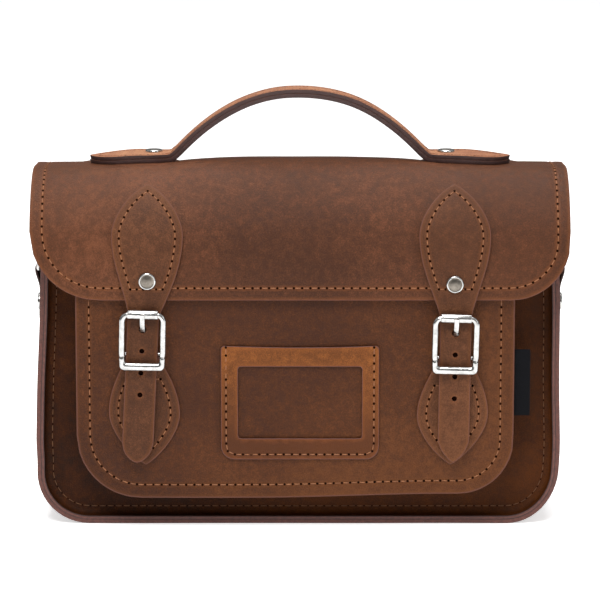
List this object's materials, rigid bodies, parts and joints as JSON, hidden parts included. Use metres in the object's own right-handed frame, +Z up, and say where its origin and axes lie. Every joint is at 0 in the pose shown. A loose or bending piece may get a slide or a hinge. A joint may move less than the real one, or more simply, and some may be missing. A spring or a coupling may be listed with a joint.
{
  "type": "satchel bag",
  "caption": "Boxy leather satchel with a domed flap, buckled front straps, a front pocket with a card frame, a carrying handle and side rings.",
  "frame": {"origin": "centre of the flat base of the main gusset", "axes": "+X along the width, to the right of a person facing the front; +Y from the front to the back; +Z up"},
  "size_m": [0.3278, 0.112, 0.2662],
  "materials": {
    "leather": "oiled pull-up grain leather, satin",
    "leather_shell": "oiled leather, darker and less rubbed",
    "leather_card": "oiled leather, rubbed to an orange brown",
    "woven_tag": "tightly woven ribbon",
    "thread": "waxed sewing thread",
    "nickel": "bright nickel plate"
  },
  "bodies": {
    "bag": {"back_panel": "leather", "main_gusset": "leather_shell", "front_panel": "leather_shell", "pocket_gusset": "leather_shell", "pocket_panel": "leather", "card_frame": "leather_card", "seam_tag": "woven_tag", "buckle_tab_l": "leather", "buckle_tab_r": "leather", "side_tab_l": "leather", "side_tab_r": "leather", "side_rivets": "nickel", "side_rivet_backs": "nickel"},
    "flap": {"flap": "leather", "strap_leaf_l": "leather", "strap_leaf_r": "leather", "strap_rivets": "nickel", "strap_rivet_backs": "nickel", "handle_lining": "leather", "handle_cover": "leather", "handle_rivets": "nickel", "handle_washers": "leather", "handle_rivet_backs": "nickel"},
    "strap_l": {"strap_tail_l": "leather"},
    "buckle_l": {"buckle_frame_l": "nickel"},
    "roller_l": {"roller_l": "nickel"},
    "prong_l": {"prong_l": "nickel"},
    "ring_l": {"d_ring_l": "nickel"},
    "strap_r": {"strap_tail_r": "leather"},
    "buckle_r": {"buckle_frame_r": "nickel"},
    "roller_r": {"roller_r": "nickel"},
    "prong_r": {"prong_r": "nickel"},
    "ring_r": {"d_ring_r": "nickel"}
  },
  "joints": [
    {"name": "flap_hinge", "type": "hinge", "parent": "bag", "child": "flap", "pos_m": [0, 0.0309, 0.19], "axis": [-1, 0, 0], "range_deg": [0, 135]},
    {"name": "strap_flex_l", "type": "hinge", "parent": "flap", "child": "strap_l", "pos_m": [-0.09417, -0.0627, 0.14048], "axis": [-0.9987, 0, 0.0506], "range_deg": [0, 90], "deforming": ["strap_tail_l"]},
    {"name": "buckle_pivot_l", "type": "hinge", "parent": "bag", "child": "buckle_l", "pos_m": [-0.0952, -0.0588, 0.1108], "axis": [0.9998, 0, -0.0209], "range_deg": [0, 8]},
    {"name": "roller_spin_l", "type": "hinge", "parent": "buckle_l", "child": "roller_l", "pos_m": [-0.09466, -0.0674, 0.13639], "axis": [0.9998, 0, -0.0209], "continuous": true},
    {"name": "prong_pivot_l", "type": "hinge", "parent": "buckle_l", "child": "prong_l", "pos_m": [-0.0952, -0.0588, 0.1108], "axis": [0.9998, 0, -0.0209], "range_deg": [0, 85]},
    {"name": "ring_swing_l", "type": "hinge", "parent": "bag", "child": "ring_l", "pos_m": [-0.16107, 0, 0.15477], "axis": [0, -1, 0], "range_deg": [0, 160]},
    {"name": "strap_flex_r", "type": "hinge", "parent": "flap", "child": "strap_r", "pos_m": [0.09413, -0.0627, 0.1405], "axis": [-0.9999, 0, 0.0122], "range_deg": [0, 90], "deforming": ["strap_tail_r"]},
    {"name": "buckle_pivot_r", "type": "hinge", "parent": "bag", "child": "buckle_r", "pos_m": [0.0936, -0.0588, 0.1085], "axis": [0.9998, 0, -0.0209], "range_deg": [0, 8]},
    {"name": "roller_spin_r", "type": "hinge", "parent": "buckle_r", "child": "roller_r", "pos_m": [0.09414, -0.0674, 0.13409], "axis": [0.9998, 0, -0.0209], "continuous": true},
    {"name": "prong_pivot_r", "type": "hinge", "parent": "buckle_r", "child": "prong_r", "pos_m": [0.0936, -0.0588, 0.1085], "axis": [0.9998, 0, -0.0209], "range_deg": [0, 85]},
    {"name": "ring_swing_r", "type": "hinge", "parent": "bag", "child": "ring_r", "pos_m": [0.16107, 0, 0.15477], "axis": [0, 1, 0], "range_deg": [0, 160]}
  ]
}
